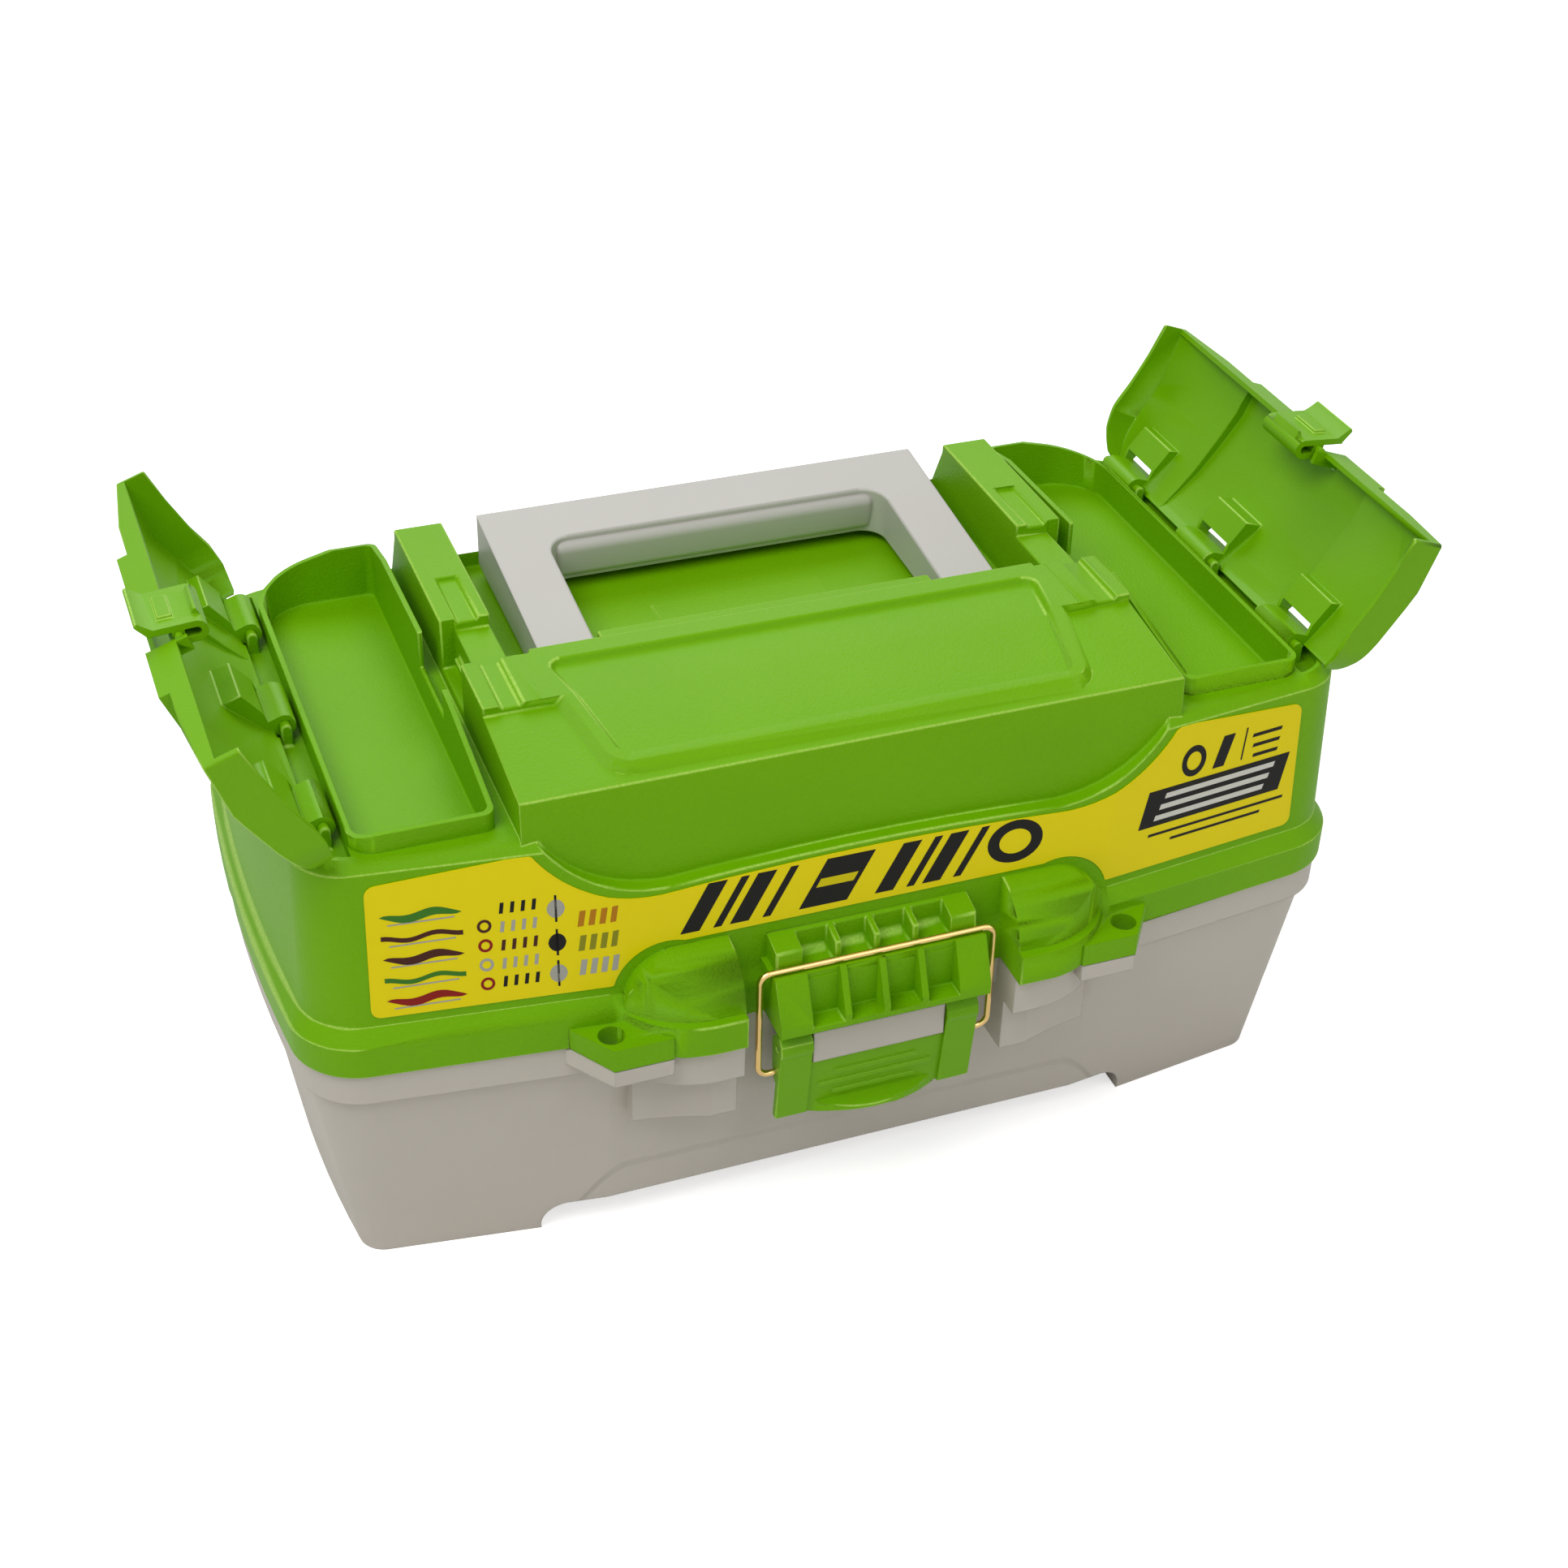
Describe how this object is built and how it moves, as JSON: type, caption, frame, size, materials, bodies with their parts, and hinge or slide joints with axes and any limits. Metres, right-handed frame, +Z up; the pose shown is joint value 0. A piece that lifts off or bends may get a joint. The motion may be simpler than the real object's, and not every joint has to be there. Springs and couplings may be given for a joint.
{
  "type": "tackle box",
  "caption": "Moulded tackle box with a hinged lid, lidded top pockets, a fold-down handle, a lever and wire latch and a tray that rises with the lid.",
  "frame": {"origin": "on the floor under the middle of the box with both side lids open", "axes": "+X to the right of someone facing the latch, +Y from the latch towards the rear hinge, +Z up"},
  "size_m": [0.458, 0.2335, 0.2429],
  "materials": {
    "green_plastic": "fine moulded grain",
    "grey_plastic": "plain moulded, slight sheen",
    "handle_plastic": "smooth moulded",
    "tray_plastic": "smooth moulded",
    "brass_wire": "drawn wire",
    "steel_pin": "plain",
    "steel_link": "flat strip",
    "label_print": "printed film"
  },
  "bodies": {
    "tub": {"base_tub": "grey_plastic", "hinge_pin_left": "steel_pin", "hinge_pin_right": "steel_pin", "latch_lever_pin": "steel_pin", "link_base_rivets": "steel_pin"},
    "lid": {"lid_shell": "green_plastic", "front_label": "label_print", "handle_pivot_pins": "handle_plastic", "lid_tray_rivets": "steel_pin"},
    "left_top_lid": {"left_side_lid": "green_plastic"},
    "right_top_lid": {"right_side_lid": "green_plastic"},
    "left_clip": {"left_lid_clip": "green_plastic"},
    "right_clip": {"right_lid_clip": "green_plastic"},
    "handle": {"carry_handle": "handle_plastic"},
    "lever": {"latch_lever": "green_plastic"},
    "bail": {"latch_bail": "brass_wire"},
    "tray": {"cantilever_tray": "tray_plastic", "tray_dividers": "tray_plastic", "link_tray_rivets": "steel_pin"},
    "left_link": {"tray_link_left": "steel_link"},
    "right_link": {"tray_link_right": "steel_link"}
  },
  "joints": [
    {"name": "main_lid", "type": "hinge", "parent": "tub", "child": "lid", "pos_m": [0, 0.1124, 0.097], "axis": [-1, 0, 0], "range_deg": [0, 100]},
    {"name": "left_top_lid_hinge", "type": "hinge", "parent": "lid", "child": "left_top_lid", "pos_m": [-0.182, 0.014, 0.186], "axis": [0, -1, 0], "range_deg": [-110, 0]},
    {"name": "right_top_lid_hinge", "type": "hinge", "parent": "lid", "child": "right_top_lid", "pos_m": [0.182, 0.014, 0.186], "axis": [0, 1, 0], "range_deg": [-110, 0]},
    {"name": "left_clip_hinge", "type": "hinge", "parent": "left_top_lid", "child": "left_clip", "pos_m": [-0.21459, 0.0029, 0.23607], "axis": [0, -1, 0], "range_deg": [0, 15]},
    {"name": "right_clip_hinge", "type": "hinge", "parent": "right_top_lid", "child": "right_clip", "pos_m": [0.21459, 0.0029, 0.23607], "axis": [0, 1, 0], "range_deg": [0, 15]},
    {"name": "handle_fold", "type": "hinge", "parent": "lid", "child": "handle", "pos_m": [0, 0.0035, 0.1892], "axis": [1, 0, 0], "range_deg": [0, 90]},
    {"name": "latch_lever_hinge", "type": "hinge", "parent": "tub", "child": "lever", "pos_m": [0, -0.1077, 0.088], "axis": [-1, 0, 0], "range_deg": [0, 90]},
    {"name": "latch_bail_hinge", "type": "hinge", "parent": "lever", "child": "bail", "pos_m": [0, -0.1065, 0.076], "axis": [-1, 0, 0], "range_deg": [-73, 0]},
    {"name": "tray_to_lid", "type": "hinge", "parent": "lid", "child": "tray", "pos_m": [0, 0.0524, 0.105], "axis": [-1, 0, 0], "range_deg": [-100, 0]},
    {"name": "left_link_base", "type": "hinge", "parent": "tub", "child": "left_link", "pos_m": [-0.1822, -0.01, 0.086], "axis": [-1, 0, 0], "range_deg": [0, 100]},
    {"name": "right_link_base", "type": "hinge", "parent": "tub", "child": "right_link", "pos_m": [0.1822, -0.01, 0.086], "axis": [-1, 0, 0], "range_deg": [0, 100]}
  ],
  "couplings": [
    {"joint": "tray_to_lid", "follows": "main_lid", "ratio": -1},
    {"joint": "left_link_base", "follows": "main_lid", "ratio": 1},
    {"joint": "right_link_base", "follows": "main_lid", "ratio": 1},
    {"joint": "latch_bail_hinge", "follows": "latch_lever_hinge", "ratio": -0.81}
  ]
}
